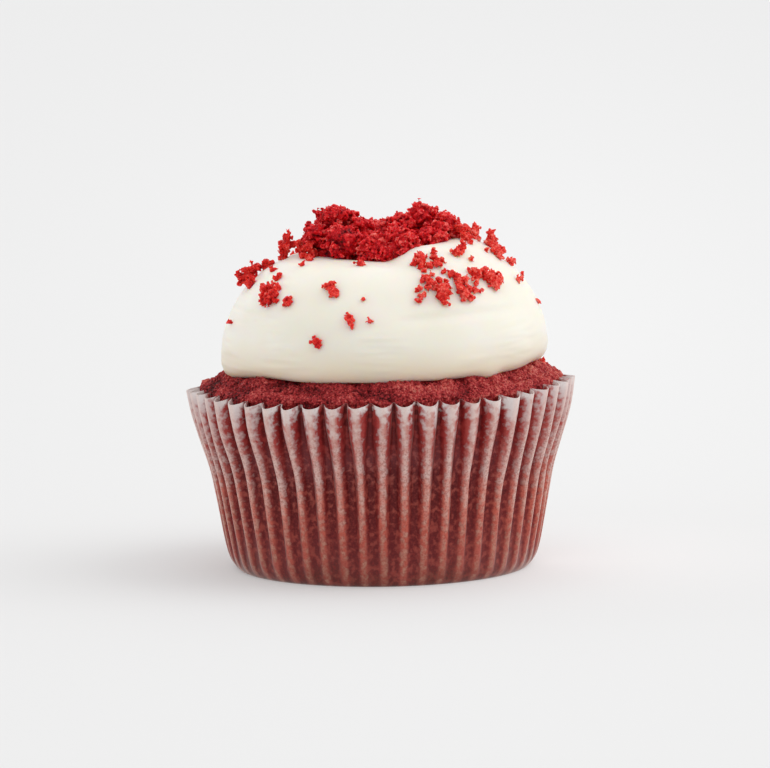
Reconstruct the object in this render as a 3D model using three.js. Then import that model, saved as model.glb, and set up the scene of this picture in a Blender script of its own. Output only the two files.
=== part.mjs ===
// A frosted cupcake: a domed sponge baked in a fluted paper case, a dome of frosting spread over it
// with a knife, and a heap of sponge crumbs in the hollow that the knife left on top.
//
// Millimetres, +Z up. The origin is the centre of the case's flat base, on the surface it stands on.
// A turn is an angle round +Z in radians, from the front (-Y) towards the right (+X).
import * as THREE from "three";

const { clamp, degToRad, euclideanModulo, lerp, smoothstep } = THREE.MathUtils;

// ---- Driving dimensions ----
const BASE_RADIUS = 25.4; // the case's flat base, 2 inches across
const WALL_SLANT = 33.4; // paper from the base's edge up to the rim
const FLUTES = 50;
const PAPER = 0.3; // wall of the case, several times thicker than the paper itself
const GAP = 0.3; // kept between neighbouring solids

const CAKE_EDGE_RADIUS = 31; // where the sponge's dome meets the rim of the case
const CAKE_CENTRE_HEIGHT = 37.6;
const CAKE_DOME_DROP = 4.6; // from the middle of the dome down to its edge
const CAKE_LEAN = 0.024; // rise per millimetre towards +X, as the cake baked a little higher there
const CAKE_BACK_DROP = 1.6; // how much lower its edge is at the back

const FROSTING_RADIUS = 28.6; // at the widest
const FROSTING_OFF_CENTRE = 0.028; // how far the frosting sits towards +X, of its radius
const FROSTING_LEAN = 0.012;
const FROSTING_WIDEST_HEIGHT = 38.6;
const FROSTING_DOME_RISE = 19.9; // from the widest level to the top of the dome before the hollow
const FROSTING_FOOT_RADIUS = 27.2; // where it sits on the sponge
const HOLLOW_DEPTH = 5.7;
const HOLLOW_RADIUS = 9.5;

const HEAP_HALF_LENGTH = 13.6; // from side to side
const HEAP_HALF_WIDTH = 10.6; // from front to back
const HEAP_SADDLE_HEIGHT = 60.6; // between its two peaks
const HEAP_PEAK_RISE = 3.2;

// ---- Mesh density ----
const POINTS_PER_FLUTE = 5;
const FLUTED_SEGMENTS = FLUTES * POINTS_PER_FLUTE;
const FROSTING_SEGMENTS = 48;

// ---- Paper case ----
const BASE_ROUND = 1.45; // how far the wall steps out as it turns up from the base
const BASE_ROUND_SLANT = 1.3;
const WALL_LEAN = 0.178; // outward run per millimetre of slant
const SWELL = 1.25; // how far the upper wall is splayed beyond that
const SWELL_SLANTS = [17, 31];
const FLUTE_DEPTH_SHARE = 0.66; // of the depth that would take up all the surplus paper
const RIDGE_RISE = 0.964; // height per millimetre of slant, less on the ridges, which lean out more
const GROOVE_RISE = 0.985;
const RIM_LEAN = 0.02; // rise per millimetre towards +X
const RIM_LIFT = 2.8; // with the sag, lifts the rim at the left and the right, and sinks it between
const RIM_SAG = 1.9;
const RIM_BACK_DROP = 2.3; // how much lower the rim stands at the back
const RIM_BACK = [-0.5, 0.6]; // where it drops, of its radius
const WALL_LEVELS = [2, 17, 27]; // slants of the rings between the base and the rim

// Radius of the ridges at a slant distance up from the base's edge.
function ridgeRadius(slant) {
  const corner = BASE_ROUND * (1 - Math.exp(-slant / BASE_ROUND_SLANT));
  return BASE_RADIUS + corner + WALL_LEAN * slant + SWELL * smoothstep(slant, ...SWELL_SLANTS);
}

// The case is pressed from a flat disc, so each flute takes up its share of the surplus paper.
function fluteDepth(slant) {
  const surplus = (BASE_RADIUS + slant) ** 2 - ridgeRadius(slant) ** 2;
  return FLUTE_DEPTH_SHARE * (Math.PI / FLUTES) * Math.sqrt(Math.max(0, surplus));
}

// 0 at the bottom of a groove and 1 on a ridge: broad ridges and narrow grooves.
function ridge(turn) {
  return Math.abs(Math.sin((FLUTES * turn) / 2));
}

// How far the wall rises or sinks, at a radius, for the rim to wave as a filled case's does.
function rimWave(radius, turn) {
  const rimRadius = ridgeRadius(WALL_SLANT);
  const right = (radius * Math.sin(turn)) / rimRadius;
  const back = (-radius * Math.cos(turn)) / rimRadius;
  const sides = right ** 2 * (RIM_LIFT * right ** 2 - RIM_SAG);
  return RIM_LEAN * rimRadius * right + sides - RIM_BACK_DROP * smoothstep(back, ...RIM_BACK);
}

// A point of the fluted wall, moved inwards by inset, and further on the ridges by ridgeInset.
function wallPoint(slant, turn, inset, ridgeInset = 0) {
  const onRidge = ridge(turn);
  const outer = ridgeRadius(slant) - fluteDepth(slant) * (1 - onRidge);
  const wave = rimWave(outer, turn) * (slant / WALL_SLANT);
  return {
    radius: outer - inset - ridgeInset * onRidge,
    height: slant * lerp(GROOVE_RISE, RIDGE_RISE, onRidge) + wave,
  };
}

// ---- Sponge ----
const CAKE_BASE_HEIGHT = PAPER + GAP;
const CAKE_SIDE_SLANTS = [2, 17, 30];
const CAKE_RIDGE_INSET = 0.5; // the sponge doesn't quite fill the ridges
const CAKE_DOME_POWER = 7; // flat in the middle, steep at the edge
const CAKE_DOME_RADII = [30.3, 28, 25, 18];

// Gentle lobes round the cake, from -1 to 1, so that no outline is a true circle.
function lobes(turn, shift) {
  return 0.5 * Math.sin(2 * turn + shift) + 0.3 * Math.sin(3 * turn + 2.1 * shift)
    + 0.2 * Math.sin(5 * turn + 3.7 * shift);
}

function cakeTop(radius, turn) {
  const outwards = radius / CAKE_EDGE_RADIUS;
  const dome = CAKE_CENTRE_HEIGHT - CAKE_DOME_DROP * outwards ** CAKE_DOME_POWER;
  const back = (CAKE_BACK_DROP * outwards ** 2 * (1 - Math.cos(turn))) / 2;
  const lean = CAKE_LEAN * radius * Math.sin(turn);
  return dome - back + lean + 0.35 * outwards * lobes(turn, 1.57);
}

// ---- Frosting ----
const UNDERSIDE_RADII = [18, 25]; // also rings of the sponge's dome
const FOOT_STEPS = 2; // rings between the foot and the widest level
const SWIRL_RADIUS = 12.5; // the ridge that the knife left round the hollow
const SWIRL_WIDTH = 5;
const SWIRL_LOW = -0.9; // the ridge's height at its start and at its end, where it steps up
const SWIRL_HIGH = 1.5;
const SWIRL_START = degToRad(5);
const SWIRL_STEP = degToRad(32);
const SHOULDER_RISE = 2.1; // the frosting is fuller on the right
const SHOULDER_RADIUS = 20;
const SHOULDER_WIDTH = 8;

// The swirl climbs steeply where the knife left it, then falls away slowly all the way round.
function swirlHeight(turn) {
  const along = euclideanModulo(turn - SWIRL_START, 2 * Math.PI);
  const climb = smoothstep(along / SWIRL_STEP, 0, 1);
  const fall = Math.max(0, along - SWIRL_STEP) / (2 * Math.PI - SWIRL_STEP);
  return lerp(SWIRL_LOW, SWIRL_HIGH, climb - fall);
}

function frostingTop(radius, turn) {
  const outwards = Math.min(1, radius / FROSTING_RADIUS);
  const dome = FROSTING_WIDEST_HEIGHT + FROSTING_DOME_RISE * Math.sqrt(1 - outwards ** 2);
  const hollow = HOLLOW_DEPTH * Math.exp(-((radius / HOLLOW_RADIUS) ** 2));
  if (radius === 0) {
    return dome - hollow; // the middle of the hollow is one point, whatever the turn
  }
  const swirl = swirlHeight(turn) * Math.exp(-(((radius - SWIRL_RADIUS) / SWIRL_WIDTH) ** 2));
  const onShoulder = Math.exp(-(((radius - SHOULDER_RADIUS) / SHOULDER_WIDTH) ** 2));
  const shoulder = SHOULDER_RISE * clamp(Math.sin(turn), 0, 1) ** 2 * onShoulder;
  return dome - hollow + swirl + shoulder + FROSTING_LEAN * radius * Math.sin(turn);
}

function frostingRadius(radius, turn) {
  return radius * (1 + 0.012 * lobes(turn, 2.4) + FROSTING_OFF_CENTRE * Math.sin(turn));
}

// A point of the frosting's upper surface, or above it by lift.
function frostingPoint(radius, turn, lift = 0) {
  return { radius: frostingRadius(radius, turn), height: frostingTop(radius, turn) + lift };
}

// ---- Heap of crumbs ----
const HEAP_INNER_RADII = [4.5, 8.5];
const HEAP_EDGE_THICKNESS = 1.6;
const PEAK_RADIUS = 8.2;
const PEAK_WIDTH = 4.6;

function heapEdge(turn) {
  return lerp(HEAP_HALF_WIDTH, HEAP_HALF_LENGTH, Math.sin(turn) ** 2) + 0.6 * lobes(2 * turn, 1.3);
}

// Radii that the heap shares with the frosting, as functions of turn, so that it follows the hollow.
const HEAP_RINGS = [
  ...HEAP_INNER_RADII.map((radius) => () => radius),
  (turn) => (HEAP_INNER_RADII[1] + heapEdge(turn)) / 2,
  heapEdge,
];

function heapTop(radius, turn) {
  const onPeak = Math.exp(-(((radius - PEAK_RADIUS) / PEAK_WIDTH) ** 2)) * Math.sin(turn) ** 2;
  const fall = 5.2 * (radius / heapEdge(turn)) ** 4;
  const lumps = radius > 0 ? 0.7 * lobes(2 * turn, radius) : 0;
  const height = HEAP_SADDLE_HEIGHT + HEAP_PEAK_RISE * onPeak - fall + lumps;
  return Math.max(height, frostingTop(radius, turn) + HEAP_EDGE_THICKNESS);
}

// ---- Building ----

// A closed solid whose surface runs through rings, from the pole under it to the pole on top.
// Each ring is a function of turn that gives a radius and a height.
function solidOfRings(rings, segments) {
  const columns = rings.map((_, level) => new THREE.Vector2(1, level));
  const geometry = new THREE.LatheGeometry(columns, segments);
  const position = geometry.getAttribute("position");
  for (let i = 0; i < position.count; i++) {
    const turn = (Math.floor(i / rings.length) % segments) * ((2 * Math.PI) / segments);
    const { radius, height } = rings[i % rings.length](turn);
    position.setXYZ(i, radius * Math.sin(turn), -radius * Math.cos(turn), height);
  }
  geometry.computeVertexNormals();
  return geometry;
}

const pole = (height) => () => ({ radius: 0, height });
const flatRing = (radius, height) => () => ({ radius, height });

function paperCase() {
  const slants = [...WALL_LEVELS, WALL_SLANT];
  const outside = slants.map((slant) => (turn) => wallPoint(slant, turn, 0));
  const inside = slants.map((slant) => (turn) => wallPoint(slant, turn, PAPER)).reverse();
  return solidOfRings(
    [
      pole(0),
      flatRing(BASE_RADIUS, 0),
      ...outside,
      ...inside,
      flatRing(BASE_RADIUS - PAPER, PAPER),
      pole(PAPER),
    ],
    FLUTED_SEGMENTS,
  );
}

function cake() {
  const side = CAKE_SIDE_SLANTS.map(
    (slant) => (turn) => wallPoint(slant, turn, PAPER + GAP, CAKE_RIDGE_INSET),
  );
  const dome = CAKE_DOME_RADII.map(
    (radius) => (turn) => ({ radius, height: cakeTop(radius, turn) }),
  );
  const footRadius = BASE_RADIUS - PAPER - 2 * GAP;
  return solidOfRings(
    [
      pole(CAKE_BASE_HEIGHT),
      flatRing(footRadius, CAKE_BASE_HEIGHT),
      ...side,
      ...dome,
      pole(cakeTop(0, 0)),
    ],
    FLUTED_SEGMENTS,
  );
}

function frosting() {
  const underside = UNDERSIDE_RADII.map(
    (radius) => (turn) => ({ radius, height: cakeTop(radius, turn) + GAP }),
  );
  // The overhang bulges out from the foot to the widest level.
  const overhang = Array.from({ length: FOOT_STEPS + 1 }, (_, step) => (turn) => {
    const up = step / FOOT_STEPS;
    const out = Math.sqrt(1 - (1 - up) ** 2);
    const foot = cakeTop(frostingRadius(FROSTING_FOOT_RADIUS, turn), turn) + GAP;
    return {
      radius: frostingRadius(lerp(FROSTING_FOOT_RADIUS, FROSTING_RADIUS, out), turn),
      height: lerp(foot, frostingTop(FROSTING_RADIUS, turn), up),
    };
  });
  const dome = [
    ...[27.6, 26, 23.5, 20.5, 17].map((radius) => () => radius),
    (turn) => (17 + heapEdge(turn)) / 2,
    ...[...HEAP_RINGS].reverse(),
  ].map((radius) => (turn) => frostingPoint(radius(turn), turn));
  return solidOfRings(
    [pole(cakeTop(0, 0) + GAP), ...underside, ...overhang, ...dome, pole(frostingTop(0, 0))],
    FROSTING_SEGMENTS,
  );
}

function crumbHeap() {
  const underside = HEAP_RINGS.map((radius) => (turn) => frostingPoint(radius(turn), turn, GAP));
  const edge = (turn) => frostingPoint(heapEdge(turn), turn, HEAP_EDGE_THICKNESS);
  const top = HEAP_RINGS.slice(0, -1).reverse().map((radius) => (turn) => ({
    radius: frostingRadius(radius(turn), turn),
    height: heapTop(radius(turn), turn),
  }));
  return solidOfRings(
    [pole(frostingTop(0, 0) + GAP), ...underside, edge, ...top, pole(heapTop(0, 0))],
    FROSTING_SEGMENTS,
  );
}

const PIECES = [
  { name: "paper_case", make: paperCase, color: "#b5706b", roughness: 0.55 },
  { name: "cake", make: cake, color: "#7c2126", roughness: 0.85 },
  { name: "frosting", make: frosting, color: "#f3eee0", roughness: 0.4 },
  { name: "crumb_heap", make: crumbHeap, color: "#a3151b", roughness: 0.8 },
];

const cupcake = new THREE.Group();
cupcake.name = "cupcake";
for (const { name, make, color, roughness } of PIECES) {
  const material = new THREE.MeshStandardMaterial({ color, roughness, metalness: 0 });
  const mesh = new THREE.Mesh(make(), material);
  mesh.name = name;
  cupcake.add(mesh);
}

export default cupcake;
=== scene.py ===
"""The looks of a frosted cupcake, built round its CAD frame.

Pieces: the fluted paper case, the sponge inside it with its torn crumb showing round the edge, the
frosting spread over it with a knife, the crumbs heaped in its hollow and the crumbs strewn over it.
Sizes are in millimetres, and become metres as each mesh or node is made. The camera's and the
studio's are in metres. A turn is an angle round +Z in radians, from the front (-Y) towards the right
(+X).
"""

import math

import bmesh
import bpy
import numpy as np
from mathutils import Matrix, Vector
from mathutils.bvhtree import BVHTree


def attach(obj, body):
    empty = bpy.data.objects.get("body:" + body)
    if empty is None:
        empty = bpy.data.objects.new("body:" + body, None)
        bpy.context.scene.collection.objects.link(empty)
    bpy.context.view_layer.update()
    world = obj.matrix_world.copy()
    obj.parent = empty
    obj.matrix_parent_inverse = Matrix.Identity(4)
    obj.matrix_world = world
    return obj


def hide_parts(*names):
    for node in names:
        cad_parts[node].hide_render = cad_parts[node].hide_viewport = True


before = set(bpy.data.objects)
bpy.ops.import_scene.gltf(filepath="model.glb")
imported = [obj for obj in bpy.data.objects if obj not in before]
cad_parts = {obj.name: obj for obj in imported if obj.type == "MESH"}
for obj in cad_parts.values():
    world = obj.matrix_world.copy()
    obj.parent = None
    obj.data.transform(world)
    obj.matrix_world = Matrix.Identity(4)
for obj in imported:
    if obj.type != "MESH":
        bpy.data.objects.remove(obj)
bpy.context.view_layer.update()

MM = 0.001


def new_object(name, data):
    """A new object at the origin, in the scene."""
    item = bpy.data.objects.new(name, data)
    bpy.context.scene.collection.objects.link(item)
    return item


# ---- Camera ----
CAMERA_PLACE = Vector((0, -1.3, 0.203))
CAMERA_TARGET = Vector((0.0007, 0, 0.0319))
CAMERA_LENS = 350
CAMERA_ROLL = math.radians(0.9)  # it leans, so that the right side is seen a little higher


def make_camera():
    data = bpy.data.cameras.new("camera")
    data.lens = CAMERA_LENS
    data.sensor_width = 36
    data.clip_start = 0.01
    camera = new_object("camera", data)
    aim = (CAMERA_TARGET - CAMERA_PLACE).to_track_quat("-Z", "Y").to_matrix().to_4x4()
    roll = Matrix.Rotation(-CAMERA_ROLL, 4, "Z")
    camera.matrix_world = Matrix.Translation(CAMERA_PLACE) @ aim @ roll
    bpy.context.scene.camera = camera


make_camera()


# ---- Nodes ----
def linear(hex_colour):
    """The linear colour of an sRGB hex value."""
    channels = [int(hex_colour[i:i + 2], 16) / 255 for i in (1, 3, 5)]
    return [c / 12.92 if c <= 0.04045 else ((c + 0.055) / 1.055) ** 2.4 for c in channels] + [1]


def add(tree, kind, inputs=(), **settings):
    """Adds a node with its settings. Its inputs, given by name or in order, are filled with values or
    with other nodes' outputs."""
    node = tree.nodes.new(kind)
    for name, value in settings.items():
        setattr(node, name, value)
    for key, source in inputs.items() if isinstance(inputs, dict) else enumerate(inputs):
        named = (socket for socket in node.inputs if socket.enabled and socket.name == key)
        socket = node.inputs[key] if isinstance(key, int) else next(named)
        if isinstance(source, bpy.types.Node):
            source = next(output for output in source.outputs if output.enabled)
        if isinstance(source, bpy.types.NodeSocket):
            tree.links.new(source, socket)
        else:
            socket.default_value = source
    return node


def new_tree(name, inputs):
    """A geometry tree with named inputs, each with its first value, and one for the material."""
    tree = bpy.data.node_groups.new(name, "GeometryNodeTree")
    tree.interface.new_socket("Geometry", in_out="INPUT", socket_type="NodeSocketGeometry")
    for label, value in inputs.items():
        kind = "NodeSocketInt" if isinstance(value, int) else "NodeSocketFloat"
        tree.interface.new_socket(label, in_out="INPUT", socket_type=kind).default_value = value
    tree.interface.new_socket("Material", in_out="INPUT", socket_type="NodeSocketMaterial")
    tree.interface.new_socket("Geometry", in_out="OUTPUT", socket_type="NodeSocketGeometry")
    return tree, add(tree, "NodeGroupInput").outputs


def end_tree(tree, given, geometry):
    """Ends a geometry tree with its geometry smooth, with no instances left, in its material."""
    smooth = add(tree, "GeometryNodeSetShadeSmooth", {"Geometry": geometry})
    realized = add(tree, "GeometryNodeRealizeInstances", {"Geometry": smooth})
    finished = add(tree, "GeometryNodeSetMaterial", {
        "Geometry": realized, "Material": given["Material"]})
    add(tree, "NodeGroupOutput", {"Geometry": finished})
    return tree


def run_tree(name, tree, mesh, paper=0, **values):
    """Runs a geometry tree on a mesh and gives a plain piece, thickened if it is a sheet of paper."""
    source = new_object(name + "_source", mesh)
    modifier = source.modifiers.new("nodes", "NODES")
    modifier.node_group = tree
    for item in tree.interface.items_tree:
        label = item.name.lower().replace(" ", "_")
        if item.in_out == "INPUT" and label in values:
            modifier[item.identifier] = values[label]
    if paper:
        sheet = source.modifiers.new("paper", "SOLIDIFY")
        sheet.thickness = paper
        sheet.offset = -1
    evaluated = source.evaluated_get(bpy.context.evaluated_depsgraph_get())
    result = bpy.data.meshes.new_from_object(evaluated)
    bpy.data.objects.remove(source)
    return new_object(name, result)


# ---- Meshes ----
def mesh_of(name, points, faces, **attributes):
    """A mesh from points in millimetres, with a number at each point for each attribute."""
    mesh = bpy.data.meshes.new(name)
    mesh.from_pydata((np.asarray(points) * MM).tolist(), [], faces)
    for label, values in attributes.items():
        attribute = mesh.attributes.new(label, "FLOAT", "POINT")
        attribute.data.foreach_set("value", np.array(values, float))
    return mesh


def ring_faces(rows, columns):
    """Quads between rows of points that each go round the axis, facing outwards when they go up."""
    here = np.arange(columns)
    there = (here + 1) % columns
    quads = np.stack([here, there, there + columns, here + columns], 1)
    return np.concatenate([quads + row * columns for row in range(rows - 1)]).tolist()


def solid_of_rings(name, rings):
    """A closed mesh through rings of points, from the pole under it to the pole on top."""
    rings = np.asarray(rings)
    rows, columns = rings.shape[:2]
    points = np.vstack([rings.reshape(-1, 3), rings[0].mean(0), rings[-1].mean(0)])
    bottom, top = len(points) - 2, len(points) - 1
    last = (rows - 1) * columns
    faces = ring_faces(rows, columns)
    faces += [(bottom, (i + 1) % columns, i) for i in range(columns)]
    faces += [(top, last + i, last + (i + 1) % columns) for i in range(columns)]
    return mesh_of(name, points, faces)


def turns_of(columns):
    """The turns of columns spaced evenly round the axis."""
    return np.arange(columns) * (2 * math.pi / columns)


def ring_of(radius, height, turn):
    """Points round the axis. Each argument is a number or an array."""
    return np.stack(np.broadcast_arrays(radius * np.sin(turn), -radius * np.cos(turn), height), -1)


def lobes(turn, shift):
    """Gentle lobes round the cake, from -1 to 1, so that no outline is a true circle."""
    return (0.5 * np.sin(2 * turn + shift) + 0.3 * np.sin(3 * turn + 2.1 * shift)
            + 0.2 * np.sin(5 * turn + 3.7 * shift))


def smoothstep(value, low, high):
    share = np.clip((value - low) / (high - low), 0, 1)
    return share * share * (3 - 2 * share)


# ---- Materials ----
SIDE = 30 * MM  # about how far the cake's side stands from its axis
GRAIN_SIZE = 0.35  # torn sponge's finest grain, in its colour
GRAIN_BUMP_SIZE = 0.3
GRAIN_BUMP_DEPTH = 0.2
MOTTLE_SIZE = 4
MOTTLE = 0.14
TORN_SHADES = (0.5, 0.9)  # painted shade in its cavities and painted highlight on its tips
PAINTED_LIGHT_RIGHT = (-0.045, 0.055)  # what its shade gains on the left and on the right, painted light from the right
FROSTING_PATCH_SIZE = 14
# where the painted warm bounce light on the frosting fades out
FROSTING_WARM_HEIGHTS = (34 * MM, 42 * MM)

# The paper's colours from the foot of the wall (0) to its rim (1).
STAINED_GROOVE = [(0, "#5e2c26"), (0.1, "#662626"), (0.25, "#64161a"), (0.45, "#5c0a0e"),
                  (0.6, "#5c0e14"), (0.7, "#6e2a2e"), (0.8, "#641216"), (1, "#5e1a1a")]
STAINED_FLANK = [(0, "#784038"), (0.12, "#803430"), (0.35, "#7e2626"), (0.6, "#822626"),
                 (0.8, "#902424")]
STAINED_RIDGE = [(0, "#8a463a"), (0.12, "#ac5448"), (0.35, "#be5a4a"), (0.5, "#c66858"),
                 (0.68, "#c07068"), (0.8, "#ae443e")]
FREE_PAPER = [(0, "#a87462"), (0.2, "#b8806e"), (0.45, "#ca9688"), (0.6, "#ccaaa4"), (0.7, "#c8a49e"),
              (0.82, "#c6a29e"), (0.93, "#cfb8b6"), (1, "#ddd2d0")]
# The painted highlight along the ridges' crests.
CREST_HIGHLIGHT = "#e8c8bc"
CRUMB_SPECK = "#8c322c"
# How far up the flutes the stains creep at each height of the wall, where 1 is over the ridges.
CREEP = [(0.4, 1.0), (0.56, 0.96), (0.64, 0.84), (0.69, 0.88), (0.73, 1.0), (0.84, 1.0), (0.9, 0.94),
         (0.96, 0.76), (1, 0.3)]
PAINTED_LIGHT_SIDES = 0.42  # how much less they creep at the rim's left and right, which paints those sides paler as painted light


def new_material(name, finish):
    """A material with its finish, which is plain values for the shader's own sockets."""
    material = bpy.data.materials.new(name)
    material.use_nodes = True
    tree = material.node_tree
    tree.nodes.clear()
    shader = add(tree, "ShaderNodeBsdfPrincipled", finish)
    add(tree, "ShaderNodeOutputMaterial", {"Surface": shader})
    place = add(tree, "ShaderNodeTexCoord").outputs["Object"]
    return material, tree, shader, place


def colours(node, *stops):
    """Fills a colour ramp with (position, sRGB hex or plain level) stops."""
    elements = node.color_ramp.elements
    while len(elements) < len(stops):
        elements.new(0.5)
    for element, (position, colour) in zip(elements, stops):
        element.position = position
        element.color = linear(colour) if isinstance(colour, str) else (colour, colour, colour, 1)
    return node


def torn_material(name, span, grain, finish, *stops):
    """Red sponge, with painted shade in its cavities and a painted highlight on its tips, grained and
    mottled all over, and painted lighter on its right, the side the light comes from. The attribute
    "relief" is how far the surface stands above or below its smooth outline, in metres, and the span
    is where the tips' colour is reached, in millimetres.
    """
    material, tree, shader, place = new_material(name, finish)
    relief = add(tree, "ShaderNodeAttribute", attribute_name="relief").outputs["Fac"]
    # Painted shade and highlight: darker where the surface sinks, paler where it stands up.
    shade = add(tree, "ShaderNodeMapRange", (relief, -span * MM, span * MM, *TORN_SHADES))
    for size, share in ((GRAIN_SIZE, grain), (MOTTLE_SIZE, MOTTLE)):
        noise = add(tree, "ShaderNodeTexNoise", {
            "Vector": place, "Scale": 1 / (size * MM), "Detail": 2.0})
        middle = add(tree, "ShaderNodeMath", (noise, 0.5), operation="SUBTRACT")
        shade = add(tree, "ShaderNodeMath", (middle, share, shade), operation="MULTIPLY_ADD")
    # Painted light: the shade grows paler towards the right, the side the light comes from.
    right = add(tree, "ShaderNodeSeparateXYZ", {"Vector": place}).outputs["X"]
    baked = add(tree, "ShaderNodeMapRange", (right, -SIDE, SIDE, *PAINTED_LIGHT_RIGHT))
    shade = add(tree, "ShaderNodeMath", (shade, baked), operation="ADD")
    ramp = colours(add(tree, "ShaderNodeValToRGB", {"Fac": shade}), *stops)
    tree.links.new(ramp.outputs["Color"], shader.inputs["Base Color"])

    fine = add(tree, "ShaderNodeTexNoise", {
        "Vector": place, "Scale": 1 / (GRAIN_BUMP_SIZE * MM), "Detail": 2.0})
    bump = add(tree, "ShaderNodeBump", {"Height": fine, "Distance": GRAIN_BUMP_DEPTH * MM})
    tree.links.new(bump.outputs["Normal"], shader.inputs["Normal"])
    return material


def frosting_material():
    """Cream cheese frosting: satin and off-white, with light soaking a few millimetres into it, and
    painted a little warmer towards its foot, a painted bounce of warm light from the red sponge."""
    material, tree, shader, place = new_material("cream cheese frosting", {
        "Roughness": 0.42, "Specular IOR Level": 0.35, "Subsurface Weight": 0.8,
        "Subsurface Scale": 1.6 * MM, "Subsurface Radius": (1.0, 0.75, 0.45)})
    patch = add(tree, "ShaderNodeTexNoise", {
        "Vector": place, "Scale": 1 / (FROSTING_PATCH_SIZE * MM), "Detail": 2.0})
    cream = colours(add(tree, "ShaderNodeValToRGB", {"Fac": patch}), (0.3, "#efebdd"), (0.7, "#f4f0e6"))
    # Painted bounce light: the cream turns warmer towards the foot, near the red sponge.
    height = add(tree, "ShaderNodeSeparateXYZ", {"Vector": place}).outputs["Z"]
    up = add(tree, "ShaderNodeMapRange", (height, *FROSTING_WARM_HEIGHTS))
    colour = add(tree, "ShaderNodeMix", {"Factor": up, "A": linear("#ebdcc0"), "B": cream},
                 data_type="RGBA")
    fine = add(tree, "ShaderNodeTexNoise", {"Vector": place, "Scale": 1 / (0.7 * MM), "Detail": 3.0})
    bump = add(tree, "ShaderNodeBump", {"Height": fine, "Strength": 0.15, "Distance": 0.05 * MM})
    tree.links.new(colour.outputs["Result"], shader.inputs["Base Color"])
    tree.links.new(bump.outputs["Normal"], shader.inputs["Normal"])
    return material


def paper_material():
    """Greaseproof paper. It is white and soft where it stands free, dark and translucent where the
    sponge has baked onto it, and paler on its ridges, with a painted highlight along their crests.
    The attribute "raised" is 1 on the ridges and 0 in the grooves, and "slant" runs up the wall
    from 0 to 1."""
    material, tree, shader, place = new_material("greaseproof paper", {
        "Roughness": 0.45, "Specular IOR Level": 0.1, "Coat Weight": 0.8, "Coat IOR": 1.2,
        "Coat Roughness": 0.4, "Sheen Weight": 0.45, "Sheen Roughness": 0.33,
        "Sheen Tint": linear("#fff0e8")})
    raised, slant = (add(tree, "ShaderNodeAttribute", attribute_name=name).outputs["Fac"]
                     for name in ("raised", "slant"))
    right = add(tree, "ShaderNodeSeparateXYZ", {"Vector": place}).outputs["X"]
    blot, grain, band = (add(tree, "ShaderNodeTexNoise", {
        "Vector": place, "Scale": 1 / (size * MM), "Detail": 3.0}) for size in (1.0, 0.35, 7))

    # Uneven baking shifts the colours up and down the wall.
    shift = add(tree, "ShaderNodeMapRange", (band, 0.3, 0.7, -0.06, 0.06))
    level = add(tree, "ShaderNodeMath", (slant, shift), operation="ADD")
    groove, flank, ridge, free = (
        colours(add(tree, "ShaderNodeValToRGB", {"Fac": level}), *stops)
        for stops in (STAINED_GROOVE, STAINED_FLANK, STAINED_RIDGE, FREE_PAPER))

    # Where it is stained, the flanks are paler than the grooves, and the ridges paler still, with
    # blotted edges between them. The right side is painted paler all over, as painted light from the
    # right.
    paler = add(tree, "ShaderNodeMapRange", (right, 0.0, SIDE, 0.0, 0.35))
    up = add(tree, "ShaderNodeMath", (raised, paler), operation="ADD")
    blotted = add(tree, "ShaderNodeMapRange", (blot, 0.35, 0.65, -0.45, 0.45))
    stain = groove
    for start, end, least, colour in ((0.0, 0.5, -0.2, flank), (0.55, 1.05, 0.0, ridge)):
        share = add(tree, "ShaderNodeMapRange", (up, start, end, least))
        uneven = add(tree, "ShaderNodeMath", (share, blotted), operation="SUBTRACT", use_clamp=True)
        stain = add(tree, "ShaderNodeMix", {"Factor": uneven, "A": stain, "B": colour},
                    data_type="RGBA")

    # The stains creep up the flutes as far as the sponge touched them, and never reach the rim.
    creep = colours(add(tree, "ShaderNodeValToRGB", {"Fac": level}), *CREEP)
    bare = add(tree, "ShaderNodeMath", (raised, creep), operation="SUBTRACT")
    # Painted light: the stains creep less up the wall's left and right, so those sides are painted
    # paler.
    squared = add(tree, "ShaderNodeMath", (right, right), operation="MULTIPLY")
    lifted = add(tree, "ShaderNodeMath", (squared, slant), operation="MULTIPLY")
    bare = add(tree, "ShaderNodeMath", (lifted, PAINTED_LIGHT_SIDES / SIDE ** 2, bare),
               operation="MULTIPLY_ADD")
    uneven = add(tree, "ShaderNodeMath", (blotted, 0.8, bare), operation="MULTIPLY_ADD")
    share = add(tree, "ShaderNodeMapRange", (uneven, -0.26, 0.36))
    dried = add(tree, "ShaderNodeMix", {"Factor": share, "A": stain, "B": free}, data_type="RGBA")

    # The crests have a painted highlight on the upper wall, and crumbs have left specks below the rim.
    most = add(tree, "ShaderNodeMapRange", (level, 0.3, 0.7, 0.0, 0.5))
    crest = add(tree, "ShaderNodeMapRange", (raised, 0.84, 1.0, 0.0, most))
    highlit_crest = add(tree, "ShaderNodeMix", {"Factor": crest, "A": dried, "B": linear(CREST_HIGHLIGHT)},
               data_type="RGBA")
    speck = add(tree, "ShaderNodeMapRange", (grain, 0.45, 0.65, 0.0, 0.5))
    low = add(tree, "ShaderNodeMapRange", (level, 0.75, 0.9, 1.0, 0.15))
    specks = add(tree, "ShaderNodeMath", (speck, low), operation="MULTIPLY")
    speckled = add(tree, "ShaderNodeMix", {"Factor": specks, "A": highlit_crest, "B": linear(CRUMB_SPECK)},
                   data_type="RGBA")
    tree.links.new(speckled.outputs["Result"], shader.inputs["Base Color"])
    return material


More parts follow.
